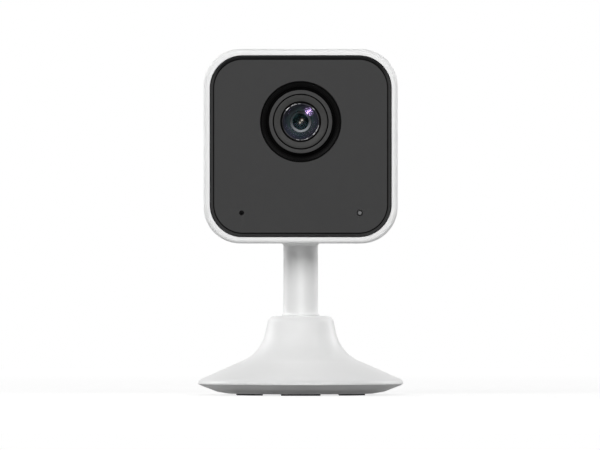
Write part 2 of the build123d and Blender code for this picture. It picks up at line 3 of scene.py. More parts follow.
import bmesh
import bpy
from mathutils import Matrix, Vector


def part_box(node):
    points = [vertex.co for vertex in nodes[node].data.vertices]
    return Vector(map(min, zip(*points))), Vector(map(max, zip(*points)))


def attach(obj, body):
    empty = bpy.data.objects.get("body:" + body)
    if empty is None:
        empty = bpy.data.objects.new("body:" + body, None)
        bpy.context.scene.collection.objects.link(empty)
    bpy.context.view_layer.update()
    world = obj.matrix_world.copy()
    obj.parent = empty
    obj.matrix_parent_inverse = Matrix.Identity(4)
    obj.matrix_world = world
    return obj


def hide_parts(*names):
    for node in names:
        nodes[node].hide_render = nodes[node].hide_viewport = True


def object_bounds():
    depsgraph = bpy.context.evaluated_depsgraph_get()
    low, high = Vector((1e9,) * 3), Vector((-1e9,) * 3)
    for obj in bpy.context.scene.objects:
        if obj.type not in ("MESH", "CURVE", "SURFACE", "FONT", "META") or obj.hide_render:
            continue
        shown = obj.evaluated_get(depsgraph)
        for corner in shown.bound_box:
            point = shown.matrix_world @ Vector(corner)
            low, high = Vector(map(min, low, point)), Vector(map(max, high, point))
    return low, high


# Looks for a small indoor security camera. Metres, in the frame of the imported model:
# +Z up, lens towards -Y. The dictionaries of single pieces are in millimetres.

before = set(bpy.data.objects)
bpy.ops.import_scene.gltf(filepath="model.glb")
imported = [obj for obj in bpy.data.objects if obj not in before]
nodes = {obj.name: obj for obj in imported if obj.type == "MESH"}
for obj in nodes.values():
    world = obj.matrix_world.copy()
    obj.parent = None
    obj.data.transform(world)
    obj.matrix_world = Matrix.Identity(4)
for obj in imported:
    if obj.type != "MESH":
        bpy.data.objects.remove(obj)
cadLow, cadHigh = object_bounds()
mm = 0.001
print("frame loaded:", len(nodes), "nodes")


# places, read from the frame
def corners(node):
    low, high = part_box(node)
    return Vector(low), Vector(high)


def middle(node):
    low, high = corners(node)
    return (low + high) / 2


lensCentre = middle("lens_ring")
plateLow, plateHigh = corners("front_plate")
plateCentre = middle("front_plate")
micPlace = middle("microphone")
statusPlace = middle("status_led")


# tools for materials
def addNode(tree, kind, links=None, **settings):
    node = tree.nodes.new(kind)
    for key, value in settings.items():
        setattr(node, key, value)
    for socket, value in (links or {}).items():
        if isinstance(value, bpy.types.NodeSocket):
            tree.links.new(value, node.inputs[socket])
        else:
            node.inputs[socket].default_value = value
    return node


def startMaterial(name, **sockets):
    mat = bpy.data.materials.new(name)
    mat.use_nodes = True
    tree = mat.node_tree
    shader = tree.nodes["Principled BSDF"]
    for socket, value in sockets.items():
        shader.inputs[socket.replace("_", " ")].default_value = value
    mat.diffuse_color = shader.inputs["Base Color"].default_value[:]
    return mat, tree, shader


def objectPoint(tree):
    return addNode(tree, "ShaderNodeTexCoord").outputs["Object"]


def noiseOn(tree, point, scale, detail=3.0, rough=0.55):
    values = {"Vector": point, "Scale": scale, "Detail": detail, "Roughness": rough}
    return addNode(tree, "ShaderNodeTexNoise", values).outputs["Fac"]


def remap(tree, value, low, high, start=0.35, end=0.65):
    values = {"Value": value, "From Min": start, "From Max": end, "To Min": low, "To Max": high}
    return addNode(tree, "ShaderNodeMapRange", values).outputs["Result"]


# the Mix node's sockets for each kind of value: first, second, result
mixSockets = {"FLOAT": (2, 3, 0), "RGBA": (6, 7, 2)}


def mixed(tree, kind, share, first, second):
    firstSocket, secondSocket, result = mixSockets[kind]
    values = {0: share, firstSocket: first, secondSocket: second}
    return addNode(tree, "ShaderNodeMix", values, data_type=kind).outputs[result]


def twoTone(tree, share, first, second):
    return mixed(tree, "RGBA", share, (*first, 1), (*second, 1))


def mathNode(tree, operation, first, second=0.0):
    return addNode(tree, "ShaderNodeMath", {0: first, 1: second}, operation=operation).outputs[0]


def vectorNode(tree, operation, links, output="Vector"):
    return addNode(tree, "ShaderNodeVectorMath", links, operation=operation).outputs[output]


def acrossLens(tree):
    # how far a point lies from the lens axis, sideways and up
    shift = vectorNode(tree, "SUBTRACT", {0: objectPoint(tree), 1: tuple(lensCentre)})
    return vectorNode(tree, "MULTIPLY", {0: shift, 1: (1, 0, 1)})


def lensRadius(tree):
    return vectorNode(tree, "LENGTH", {0: acrossLens(tree)}, "Value")


def lensLean(tree, way):
    # 1 where a point lies this way from the lens axis, -1 on the other side
    unit = vectorNode(tree, "NORMALIZE", {0: acrossLens(tree)})
    return vectorNode(tree, "DOT_PRODUCT", {0: unit, 1: way}, "Value")


def addWear(tree, shader, look):
    # clouds of a second shade, and patches rubbed smoother or duller
    point = objectPoint(tree)
    clouds = remap(tree, noiseOn(tree, point, look["cloud"]), 0, 1)
    tree.links.new(twoTone(tree, clouds, look["colour"], look["shade"]), shader.inputs["Base Color"])
    low, high = look["roughness"]
    patches = remap(tree, noiseOn(tree, point, look["patch"]), low, high)
    tree.links.new(patches, shader.inputs["Roughness"])


def addBump(tree, shader, look, height):
    values = {"Height": height, "Strength": look["strength"], "Distance": look["depth"]}
    bump = addNode(tree, "ShaderNodeBump", values)
    if look["edge"]:  # a softened edge, as every moulding has
        softened = addNode(tree, "ShaderNodeBevel", {"Radius": look["edge"]}, samples=6)
        tree.links.new(softened.outputs[0], bump.inputs["Normal"])
    tree.links.new(bump.outputs[0], shader.inputs["Normal"])


# tools for meshes
def circlePoints(radius, turns):
    points = []
    for step in range(turns):
        angle = 2 * math.pi * step / turns
        points.append((radius * math.cos(angle), radius * math.sin(angle)))
    return points


def arcPoints(centreDepth, centreRadius, bend, start, end, steps):
    # an arc of an outline, angles in degrees from +radius towards +depth
    points = []
    for step in range(steps + 1):
        angle = math.radians(start + (end - start) * step / steps)
        points.append((centreDepth + bend * math.sin(angle), centreRadius + bend * math.cos(angle)))
    return points


def roundedSquare(half, corner, steps=20):
    points = []
    inner = half - corner
    for turn in range(4):
        start = turn * math.pi / 2
        centreX = inner * (1 if turn in (0, 3) else -1)
        centreZ = inner * (1 if turn in (0, 1) else -1)
        for step in range(steps + 1):
            angle = start + math.pi / 2 * step / steps
            points.append((centreX + corner * math.cos(angle), centreZ + corner * math.sin(angle)))
    return points


def bridge(work, first, second, zone=0):
    # faces between two rings of points, where a ring of one point is a tip
    for step in range(max(len(first), len(second))):
        spots = (
            first[step % len(first)],
            first[(step + 1) % len(first)],
            second[(step + 1) % len(second)],
            second[step % len(second)],
        )
        different = list(dict.fromkeys(spots))
        if len(different) > 2:
            work.faces.new(different).material_index = zone


def meshFrom(work, name):
    mesh = bpy.data.meshes.new(name)
    work.to_mesh(mesh)
    work.free()
    return mesh


def turnedMesh(name, outline, turns=160, zones=None):
    # outline: depth behind the plate's face and radius, joined end to start unless it meets the axis
    work = bmesh.new()
    rings = []
    for depth, radius in outline:
        y = plateLow.y + depth * mm
        spots = circlePoints(radius * mm, turns) if radius else [(0, 0)]
        rings.append([work.verts.new((lensCentre.x + x, y, lensCentre.z + z)) for x, z in spots])
    meetsAxis = any(radius == 0 for _, radius in outline)
    ahead = rings[1:] if meetsAxis else rings[1:] + rings[:1]
    for index, (here, there) in enumerate(zip(rings, ahead)):
        bridge(work, here, there, zones[index] if zones else 0)
    bmesh.ops.recalc_face_normals(work, faces=work.faces)
    return meshFrom(work, name)


def faceThenGap(face, rest):
    # zones of a turned piece: 0 along its face, 1 on the walls behind, which are painted near black as shade
    return [0] * (len(face) - 1) + [1] * (len(rest) + 1)


def sharpen(mesh, crease):
    work = bmesh.new()
    work.from_mesh(mesh)
    for edge in work.edges:
        if len(edge.link_faces) == 2 and edge.calc_face_angle(0) > math.radians(crease):
            edge.smooth = False
    work.to_mesh(mesh)
    work.free()


def evenFaces(piece):
    # flat faces stay flat beside rounded edges
    weighted = piece.modifiers.new("even faces", "WEIGHTED_NORMAL")
    weighted.keep_sharp = True


def newPiece(name, mesh, materials, body, replaced=(), crease=35):
    mesh.update()
    piece = bpy.data.objects.new(name, mesh)
    bpy.context.scene.collection.objects.link(piece)
    for material in materials:
        mesh.materials.append(material)
    mesh.shade_smooth()
    sharpen(mesh, crease)
    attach(piece, body)
    if replaced:
        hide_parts(*replaced)
    return piece


# finishes
plasticIor = 1.5
whiteLook = {
    "colour": (0.885, 0.887, 0.885),
    "shade": (0.865, 0.867, 0.865),
    "shine": 0.5,
    "roughness": (0.36, 0.46),
    "cloud": 34,
    "patch": 136,
    "grain": 5200,
    "strength": 0.10,
    "depth": 0.00002,
    "edge": 0.00016,
}
# the bottom cover: a greyer copy of the white plastic, its grey partly its own and partly painted shade for
# the face that looks down
coverLook = dict(
    whiteLook,
    colour=(0.71, 0.71, 0.71),
    shade=(0.66, 0.66, 0.66),
    roughness=(0.5, 0.6),
    grain=2600,
)
buttonLook = dict(whiteLook, colour=(0.74, 0.74, 0.74), shade=(0.70, 0.70, 0.70))
nylonLook = dict(whiteLook, colour=(0.72, 0.70, 0.63), shade=(0.68, 0.66, 0.59), roughness=(0.4, 0.5))
printLook = {
    "colour": (0.0345, 0.0345, 0.0348),
    "shade": (0.0325, 0.0325, 0.0328),
    "shine": 0.5,
    "roughness": (0.50, 0.56),
    "cloud": 60,
    "patch": 240,
    "grain": 9000,
    "strength": 0.06,
    "depth": 0.000008,
    "edge": 0,
}
dullLook = dict(printLook, colour=(0.022, 0.022, 0.023), shade=(0.018, 0.018, 0.019), roughness=(0.55, 0.65))
rubberLook = dict(
    printLook,
    colour=(0.030, 0.030, 0.031),
    shade=(0.022, 0.022, 0.023),
    roughness=(0.75, 0.85),
    strength=0.3,
    depth=0.00003,
)
polishLook = {
    "colour": (0.009, 0.009, 0.0095),
    "shade": (0.011, 0.011, 0.0115),
    "shine": 0.34,
    "roughness": (0.04, 0.07),
    "cloud": 90,
    "patch": 360,
    "grain": 700,
    "strength": 0.01,
    "depth": 0.000004,
    "edge": 0,
}
funnelLook = dict(
    polishLook,
    colour=(0.003, 0.003, 0.003),
    shade=(0.004, 0.004, 0.004),
    shine=0.07,
    roughness=(0.34, 0.42),
    grain=6000,
)
# near black painted shade for grooves, narrow lips and the walls behind faces
paintedShadeLook = dict(funnelLook, colour=(0.002, 0.002, 0.002), shine=0.1, roughness=(0.7, 0.8))


def finishPlastic(name, look):
    mat, tree, shader = startMaterial(
        name, Base_Color=(*look["colour"], 1), IOR=plasticIor, Specular_IOR_Level=look["shine"]
    )
    addWear(tree, shader, look)
    addBump(tree, shader, look, noiseOn(tree, objectPoint(tree), look["grain"], detail=2))
    return mat


whitePlastic = finishPlastic("white plastic", whiteLook)
coverPlastic = finishPlastic("cover plastic", coverLook)
buttonPlastic = finishPlastic("button plastic", buttonLook)
platePrint = finishPlastic("plate print", printLook)
platePolish = finishPlastic("plate polish", polishLook)
funnelBlack = finishPlastic("funnel black", funnelLook)
paintedShadeBlack = finishPlastic("painted shade black", paintedShadeLook)
dullBlack = finishPlastic("dull black", dullLook)
padRubber = finishPlastic("pad rubber", rubberLook)
nylon = finishPlastic("nylon", nylonLook)

ringLook = {
    "colour": (0.070, 0.070, 0.070),
    "shade": (0.064, 0.064, 0.064),
    "metal": 0.0,
    "shine": 0.2,
    "roughness": (0.44, 0.52),
    "cloud": 900,
    "patch": 2600,
    "pitch": 0.00022,
    "strength": 0.20,
    "depth": 0.000006,
    "edge": 0.00005,
}
coneLook = dict(ringLook, colour=(0.061, 0.061, 0.060), shade=(0.055, 0.055, 0.054), pitch=0.00016)
steelLook = dict(
    ringLook,
    colour=(0.56, 0.57, 0.58),
    shade=(0.50, 0.51, 0.52),
    metal=1.0,
    shine=0.5,
    strength=0.08,
)


def finishTurned(name, look):
    # fine rings from the lathe
    mat, tree, shader = startMaterial(
        name,
        Base_Color=(*look["colour"], 1),
        IOR=plasticIor,
        Metallic=look["metal"],
        Specular_IOR_Level=look["shine"],
    )
    addWear(tree, shader, look)
    turn = mathNode(tree, "MULTIPLY", lensRadius(tree), 2 * math.pi / look["pitch"])
    addBump(tree, shader, look, mathNode(tree, "SINE", turn))
    return mat


ringGrey = finishTurned("ring grey", ringLook)
coneGrey = finishTurned("cone grey", coneLook)
steel = finishTurned("plated steel", steelLook)

smallLook = {
    "cloud": 700,
    "patch": 1500,
    "grain": 5000,
    "spread": 0.1,
    "strength": 0.1,
    "depth": 0.00001,
    "edge": 0,
}


def finishSmall(name, colour, rough, patchiness=0.86, **sockets):
    # a small part's finish, from its colour, its roughness and how dark its patches are
    mat, tree, shader = startMaterial(name, Base_Color=(*colour, 1), **sockets)
    shade = tuple(part * patchiness for part in colour)
    spread = smallLook["spread"]
    look = dict(smallLook, colour=colour, shade=shade, roughness=(rough * (1 - spread), rough * (1 + spread)))
    addWear(tree, shader, look)
    addBump(tree, shader, look, noiseOn(tree, objectPoint(tree), look["grain"]))
    return mat


boardGreen = finishSmall("board green", (0.015, 0.10, 0.045), 0.4)
chipBlack = finishSmall("chip black", (0.02, 0.02, 0.022), 0.5)
aluminium = finishSmall("aluminium", (0.70, 0.71, 0.72), 0.35, Metallic=1.0)
tinPlate = finishSmall("tin plate", (0.60, 0.61, 0.62), 0.3, Metallic=1.0)
copper = finishSmall("copper wire", (0.72, 0.34, 0.18), 0.35, Metallic=1.0)
gold = finishSmall("gold contact", (0.85, 0.62, 0.25), 0.25, Metallic=1.0)
padGrey = finishSmall("pad grey", (0.42, 0.50, 0.54), 0.7)
ribbonWhite = finishSmall("ribbon", (0.55, 0.60, 0.66), 0.45)
lampResin = finishSmall("lamp resin", (0.66, 0.62, 0.46), 0.25)
pipeClear = finishSmall("light pipe", (0.24, 0.24, 0.245), 0.25)

frontCoatLook = {
    "tint": (0.66, 0.42, 1.0),
    "body": 0.02,
    "ior": 2.4,
    "roughness": (0.07, 0.09),
    "haze": 1800,
}
tealCoatLook = dict(frontCoatLook, tint=(0.30, 0.80, 0.86), body=0.06, ior=2.6, roughness=(0.26, 0.32))
deepCoatLook = dict(frontCoatLook, tint=(1.0, 0.90, 0.80), body=0.26, ior=1.5, roughness=(0.26, 0.32))


def finishGlass(name, look):
    # coated glass: a weak tinted reflection over a clear body
    mat, tree, shader = startMaterial(
        name,
        Base_Color=(0, 0, 0, 1),
        IOR=look["ior"],
        Alpha=look["body"],
        Specular_Tint=(*look["tint"], 1),
    )
    low, high = look["roughness"]
    haze = remap(tree, noiseOn(tree, objectPoint(tree), look["haze"]), low, high)
    tree.links.new(haze, shader.inputs["Roughness"])
    return mat


frontCoat = finishGlass("front coating", frontCoatLook)
tealCoat = finishGlass("teal coating", tealCoatLook)
deepCoat = finishGlass("deep coating", deepCoatLook)
print("finishes made")


# carried-over pieces keep their shapes and get their finishes
def paint(material, *names):
    for name in names:
        slots = nodes[name].data.materials
        slots.clear()
        slots.append(material)
        nodes[name].data.shade_smooth()
        evenFaces(nodes[name])


paint(whitePlastic, "head_shell", "stem", "base_shell")
paint(coverPlastic, "base_cover")
paint(buttonPlastic, "reset_button")
paint(dullBlack, "front_frame", "lens_holder", "filter_carriage", "lens_spacers", "speaker")
paint(padRubber, "foot_pads", "mic_gasket", "speaker_gasket", "plate_adhesive")
paint(nylon, "pan_bush", "friction_washers", "ribbon_sockets")
paint(steel, "ballast_plate", "cover_screws", "pan_screw", "retaining_washer", "tilt_pin", "tilt_nut")
paint(steel, "frame_screws", "board_screws")
paint(tinPlate, "wifi_module")
paint(aluminium, "heat_spreader")
paint(copper, "filter_coil")
paint(padGrey, "thermal_pad")
paint(ribbonWhite, "board_ribbon")
paint(boardGreen, "main_board", "front_board")
paint(chipBlack, "processor", "image_sensor", "microphone", "reset_switch")
paint(lampResin, "ir_leds", "status_led")
paint(pipeClear, "light_pipe")
paint(tealCoat, "filter_panes")
print("carried-over pieces painted")

# front plate: etched face, polished round edge, three holes
plateSize = {
    "half": (plateHigh.x - plateLow.x) / 2 / mm,
    "corner": 9.7,
    "thick": (plateHigh.y - plateLow.y) / mm,
    # distance in from the outside and depth: a sloping edge, then a fine groove round the face
    "edge": ((0, 1.20), (0.08, 0.95), (0.18, 0.72), (0.40, 0.49), (0.64, 0.27), (0.93, 0.03)),
    "groove": ((0.95, 0.14), (1.02, 0.28), (1.18, 0.28), (1.25, 0.14), (1.27, 0)),
    # radius of a hole, width of its lip and points round it
    "window": (12.03, 0.08, 144),
    "micHole": (0.70, 0.05, 32),
    "statusHole": (0.90, 0.05, 40),
    "lipRound": 0.3,
}


def makePlate(size):
    printed, polished, gap = 0, 1, 2
    work = bmesh.new()

    def loop(points, depth):
        made = []
        for x, z in points:
            place = (plateCentre.x + x * mm, plateLow.y + depth * mm, plateCentre.z + z * mm)
            made.append(work.verts.new(place))
        return made

    rings = [loop(roundedSquare(size["half"], size["corner"]), size["thick"])]
    for inset, depth in size["edge"] + size["groove"]:  # from the wall to the face
        rings.append(loop(roundedSquare(size["half"] - inset, size["corner"] - inset), depth))
    # the fine groove round the face is painted near black as shade
    grooveStart = len(size["edge"])
    for step, (first, second) in enumerate(zip(rings, rings[1:])):
        bridge(work, first, second, gap if step >= grooveStart else polished)

    fronts, backs = [rings[-1]], [rings[0]]
    for centre, hole in ((lensCentre, "window"), (micPlace, "micHole"), (statusPlace, "statusHole")):
        radius, lip, turns = size[hole]
        across = (centre.x - plateCentre.x) / mm
        up = (centre.z - plateCentre.z) / mm
        rounding = lip * size["lipRound"]
        wall = []
        for grow, depth in ((lip, 0), (rounding, rounding), (0, lip), (0, size["thick"])):
            circle = [(across + x, up + z) for x, z in circlePoints(radius + grow, turns)]
            wall.append(loop(circle, depth))
        for first, second in zip(wall, wall[1:]):
            bridge(work, first, second, polished)
        fronts.append(wall[0])
        backs.append(wall[-1])
    for group, zone in ((fronts, printed), (backs, polished)):
        known = set(work.faces)
        outlines = []
        for ring in group:
            outlines += [work.edges.get(pair) for pair in zip(ring, ring[1:] + ring[:1])]
        bmesh.ops.triangle_fill(work, edges=outlines, use_beauty=True)
        for face in set(work.faces) - known:
            face.material_index = zone
    bmesh.ops.recalc_face_normals(work, faces=work.faces)
    return meshFrom(work, "frontPlate")


platePaint = [platePrint, platePolish, paintedShadeBlack]
frontPlate = newPiece(
    "frontPlate", makePlate(plateSize), platePaint, "head", ["front_plate"], crease=24
)
evenFaces(frontPlate)
print("front plate made")

# lens, from the outside in
funnelSize = {
    "bore": 9.5,
    "back": 3.6,
    "flange": ((3.6, 12.3), (2.4, 12.3), (2.4, 13.4), (1.6, 13.4)),
    "flangeFront": 1.6,
    "mouth": 11.94,
    "lip": 0.10,
    "lipDeep": 0.35,
    "lipTurn": -120,
    "lipSteps": 6,
    "foot": 11.6,
    "footDeep": 1.5,
    "throat": 9.75,
    "deep": 2.6,
    "steps": 3,
    "lastStep": 0.3,  # room between the last step and the throat, in steps
    "stepWide": (0.10, 0.05),
    "stepHigh": 0.04,
}


def makeFunnel(size):
    mouth, lip, lipDeep = size["mouth"], size["lip"], size["lipDeep"]
    foot, footDeep = size["foot"], size["footDeep"]
    before, after = size["stepWide"]
    outline = [(size["back"], size["bore"]), *size["flange"], (size["flangeFront"], mouth), (lipDeep, mouth)]
    outline += arcPoints(lipDeep, mouth - lip, lip, 0, size["lipTurn"], size["lipSteps"])[1:]
    outline.append((footDeep, foot))
    for step in range(size["steps"]):  # shallow baffle steps down the cone
        share = (step + 1) / (size["steps"] + size["lastStep"])
        depth = footDeep + (size["deep"] - footDeep) * share
        radius = foot + (size["throat"] - foot) * share
        outline += [(depth - before, radius + size["stepHigh"]), (depth + after, radius)]
    outline += [(size["deep"], size["throat"]), (size["deep"], size["bore"])]
    return turnedMesh("lensFunnel", outline)


newPiece("lensFunnel", makeFunnel(funnelSize), [funnelBlack], "head", ["lens_bezel"])

ringSize = {
    "outer": 9.4,
    "inner": 8.30,
    "shelf": 8.0,
    "flange": 10.6,
    "front": 0.3,
    "shelfDeep": 3.5,
    "flangeDeep": 3.6,
    "back": 4.3,
    "round": ((0.16, 0), (0.04, 0.06), (0, 0.16)),  # outer edge: how far back, how far in
    "innerRound": 0.06,
    "groove": 9.05,
    "grooveHalf": 0.03,
}


def makeRing(size):
    front, groove, half = size["front"], size["groove"], size["grooveHalf"]
    outer, inner, shelf, flange = size["outer"], size["inner"], size["shelf"], size["flange"]
    face = [(front + back, outer - inset) for back, inset in size["round"]]
    face += [(front, groove + half), (front + half, groove), (front, groove - half)]
    face += [(front, inner + size["innerRound"]), (front + size["innerRound"], inner)]
    rest = [(size["shelfDeep"], inner), (size["shelfDeep"], shelf), (size["back"], shelf)]
    rest += [(size["back"], flange), (size["flangeDeep"], flange), (size["flangeDeep"], outer)]
    return turnedMesh("lensRing", face + rest, zones=faceThenGap(face, rest))


newPiece("lensRing", makeRing(ringSize), [ringGrey, paintedShadeBlack], "head", ["lens_ring"])

barrelSize = {
    "outer": 7.94,
    "front": 0.42,
    "chamfer": 0.10,
    "seam": ((0, 7.46), (0.03, 7.42), (0.03, 7.36), (0, 7.32)),  # where the retaining ring meets the barrel
    "cone": 6.08,
    "coneDeep": 0.75,
    "coneRound": 0.05,
    "seatDeep": 1.25,
    "seatBack": 1.6,
    "edge": 5.78,
    "bore": ((2.8, 5.3), (2.8, 4.9), (11.3, 4.9), (11.3, 3.2), (12.5, 3.2), (12.5, 5.7), (12.2, 6.0)),
    "outside": ((5.8, 6.0), (5.8, 7.2), (4.6, 7.2)),
    "skirt": 4.6,
}


def makeBarrel(size):
    front, outer, chamfer = size["front"], size["outer"], size["chamfer"]
    cone, deep, soft = size["cone"], size["coneDeep"], size["coneRound"]
    face = [(front + chamfer, outer), (front, outer - chamfer)]
    face += [(front + depth, radius) for depth, radius in size["seam"]]
    face += [(deep, cone + soft), (deep + soft, cone)]
    rest = [(size["seatDeep"], cone), (size["seatDeep"], size["edge"])]
    rest += [(size["seatBack"], size["edge"] - chamfer), *size["bore"], *size["outside"]]
    rest += [(size["skirt"], outer)]
    return turnedMesh("lensBarrel", face + rest, zones=faceThenGap(face, rest))


barrelNodes = ["lens_barrel", "retaining_ring"]
newPiece("lensBarrel", makeBarrel(barrelSize), [coneGrey, paintedShadeBlack], "head", barrelNodes)

glassEdgeSize = {
    "outer": 5.50,
    "inner": 5.28,
    "front": 0.80,
    "back": 1.5,
    "crown": 26,
    "crownSteps": 6,
    "turns": 240,
    # arcs of painted glints, in degrees from +X towards +Z
    "paintedBright": ((-104, -94), (-88, -66), (-46, -38), (-33, -12), (40, 50), (90, 98), (103, 122), (128, 142)),
}


def makeGlassEdge(size):
    # ground edge of the front glass, a narrow rounded band
    outer, inner, crown = size["outer"], size["inner"], size["crown"]
    half = (outer - inner) / 2
    bend = half / math.sin(math.radians(crown))
    outline = arcPoints(size["front"] + bend, inner + half, bend, crown - 90, -crown - 90, size["crownSteps"])
    outline += [(size["back"], inner), (size["back"], outer)]
    mesh = turnedMesh("glassEdge", outline, turns=size["turns"])
    for face in mesh.polygons:  # painted glints: bright metal only in short arcs, dull between them
        way = face.center - lensCentre
        turn = math.degrees(math.atan2(way.z, way.x))
        face.material_index = 0 if any(low < turn < high for low, high in size["paintedBright"]) else 1
    return mesh


# painted glints on the glass edge, and the dull edge between them
edgeGlintPaint = finishSmall("glass edge", (0.62, 0.62, 0.64), 0.10, patchiness=0.5, Metallic=1.0)
edgeGround = finishSmall("ground glass edge", (0.10, 0.10, 0.11), 0.22, patchiness=0.4, Metallic=1.0)
newPiece("glassEdge", makeGlassEdge(glassEdgeSize), [edgeGlintPaint, edgeGround], "head")

innerTurns = 96  # points round the pieces inside the barrel


def sag(bend, radius):
    # how far a round face of this bend has moved back at this radius
    return math.copysign(abs(bend) - math.sqrt(bend * bend - radius * radius), bend)


def domeFace(apex, bend, edge, steps=14):
    return [(apex + sag(bend, edge * step / steps), edge * step / steps) for step in range(steps + 1)]


def domeMesh(name, size):
    # two round faces of a glass, where a negative hollow bulges backwards
    # the outermost wall between them, hidden in the barrel, is left open
    front = domeFace(size["apex"], size["bend"], size["edge"])
    rim = front[-1][0] + size["thick"]
    back = domeFace(rim - sag(size["hollow"], size["backEdge"]), size["hollow"], size["backEdge"])
    if "shoulder" in size:
        sides = [(rim, size["shoulder"]), (front[-1][0] + size["shoulderDeep"], size["shoulder"])]
    else:
        sides = [(rim, size["edge"])]
    return turnedMesh(name, front[::-1] + back + sides, turns=innerTurns)


def makeGlass(name, size, coating, node):
    return newPiece(name, domeMesh(name, size), [coating], "head", [node])


frontGlassSize = {"apex": 0.45, "bend": 16.1, "edge": 5.27, "thick": 1.0, "hollow": 40.0, "backEdge": 5.07}
frontGlass = makeGlass("frontGlass", frontGlassSize, frontCoat, "front_element")

bowlSize = {
    "rim": 5.26,
    "throat": 3.20,
    "front": 1.75,
    "deep": 3.3,
    "steps": 8,
    "back": ((3.55, 3.20), (3.55, 4.3), (2.75, 4.3), (2.75, 5.2), (1.85, 5.42)),
}


def makeInnerBowl(size):
    outline = []
    for step in range(size["steps"] + 1):
        share = step / size["steps"]
        radius = size["rim"] + (size["throat"] - size["rim"]) * share
        depth = size["front"] + (size["deep"] - size["front"]) * math.sin(share * math.pi / 2)
        outline.append((depth, radius))
    return turnedMesh("innerBowl", outline + list(size["back"]), turns=innerTurns)


bowlLook = {
    # painted reflections of the coatings, teal near the stop and violet grey near the rim
    "inner": (0.011, 0.033, 0.037),
    "outer": (0.022, 0.023, 0.040),
    "from": 0.0032,
    "to": 0.0050,
    "ripple": 0.25,
    "rippleScale": 420,
    # painted shade, darkest towards the upper left and the lower right
    "paintedShadeWay": (-0.707, 0.0, 0.707),
    "paintedShadeLevel": 0.45,
    "narrow": 2.0,
    "roughness": 0.5,
    "shine": 0.3,
}


def finishBowl(look):
    # blackened barrel with painted reflections of the coated glass: teal near the stop, violet grey near the
    # rim, and painted shade darkest towards the upper left and the lower right
    mat, tree, shader = startMaterial(
        "inner bowl", Roughness=look["roughness"], Specular_IOR_Level=look["shine"]
    )
    noise = noiseOn(tree, objectPoint(tree), look["rippleScale"])
    ripple = remap(tree, noise, -look["ripple"], look["ripple"])
    share = remap(tree, lensRadius(tree), 0.0, 1.0, look["from"], look["to"])
    tone = twoTone(tree, mathNode(tree, "ADD", share, ripple), look["inner"], look["outer"])
    lean = mathNode(tree, "ABSOLUTE", lensLean(tree, look["paintedShadeWay"]))
    lean = mathNode(tree, "POWER", lean, look["narrow"])
    paintedShade = remap(tree, lean, 1.0, look["paintedShadeLevel"], 0.0, 1.0)
    shaded = vectorNode(tree, "SCALE", {0: tone, "Scale": paintedShade})
    tree.links.new(shaded, shader.inputs["Base Color"])
    return mat


newPiece("innerBowl", makeInnerBowl(bowlSize), [finishBowl(bowlLook)], "head")

stopSize = {
    "outer": 3.10,
    "inner": 2.42,
    "front": 3.9,
    "deep": 5.4,
    "lip": 0.06,
    "back": 5.7,
    "rim": ((5.7, 4.85), (4.95, 4.85), (4.95, 4.3), (4.5, 3.6)),
    # zone 1 is painted shade, on the front lip and on the walls behind the cone
    "zones": (1, 0, 0, 1, 1, 1, 1, 1, 1),
}


def makeStop(size):
    # aperture stop: a turned cone, painted bright along its lower side, round a hole painted black as shade
    outer, inner, front, deep, lip = (size[key] for key in ("outer", "inner", "front", "deep", "lip"))
    outline = [(front, outer + lip), (front, outer), (deep, inner + lip), (deep + lip, inner)]
    outline += [(size["back"], inner), *size["rim"]]
    return turnedMesh("apertureStop", outline, turns=innerTurns, zones=size["zones"])


stopLook = {
    "dull": (0.13, 0.14, 0.15),
    # painted highlight: the cone is bright on its lower side and dull above
    "paintedBright": (0.66, 0.69, 0.72),
    "paintedLightWay": (0.10, 0.0, -0.995),
    "fall": 2.2,
    "highlightBreakup": (0.9, 1.0),
    "highlightBreakupScale": 1500,
    "roughness": 0.35,
    "shine": 0.3,
}


def finishStop(look):
    # blackened turned metal with a painted highlight along its lower side, broken up by noise
    mat, tree, shader = startMaterial(
        "stop grey", Roughness=look["roughness"], Specular_IOR_Level=look["shine"]
    )
    share = remap(tree, lensLean(tree, look["paintedLightWay"]), 0.0, 1.0, -1.0, 1.0)
    low, high = look["highlightBreakup"]
    patchiness = remap(tree, noiseOn(tree, objectPoint(tree), look["highlightBreakupScale"]), low, high)
    amount = mathNode(tree, "MULTIPLY", mathNode(tree, "POWER", share, look["fall"]), patchiness)
    tree.links.new(twoTone(tree, amount, look["dull"], look["paintedBright"]), shader.inputs["Base Color"])
    return mat


stopPaint = [finishStop(stopLook), paintedShadeBlack]
newPiece("apertureStop", makeStop(stopSize), stopPaint, "head", ["aperture_stop"], crease=15)

deepGlassSize = {
    "apex": 5.8,
    "bend": 2.7,
    "edge": 2.5,
    "thick": 2.6,
    "hollow": -2.3,
    "backEdge": 2.2,
    "shoulder": 4.8,
    "shoulderDeep": 0.4,
}
deepGlass = makeGlass("deepGlass", deepGlassSize, deepCoat, "rear_element")

middleGlassSize = {"apex": 2.72, "bend": 7.2, "edge": 3.12, "thick": 0.35, "hollow": 30.0, "backEdge": 2.92}
makeGlass("middleGlass", middleGlassSize, tealCoat, "middle_element")
print("lens made")

# sockets that can be looked into: a folded shell round a black moulding
sleeveLip = {"back": 0.6, "out": 0.4, "in": 0.3, "deep": 0.5}  # in walls


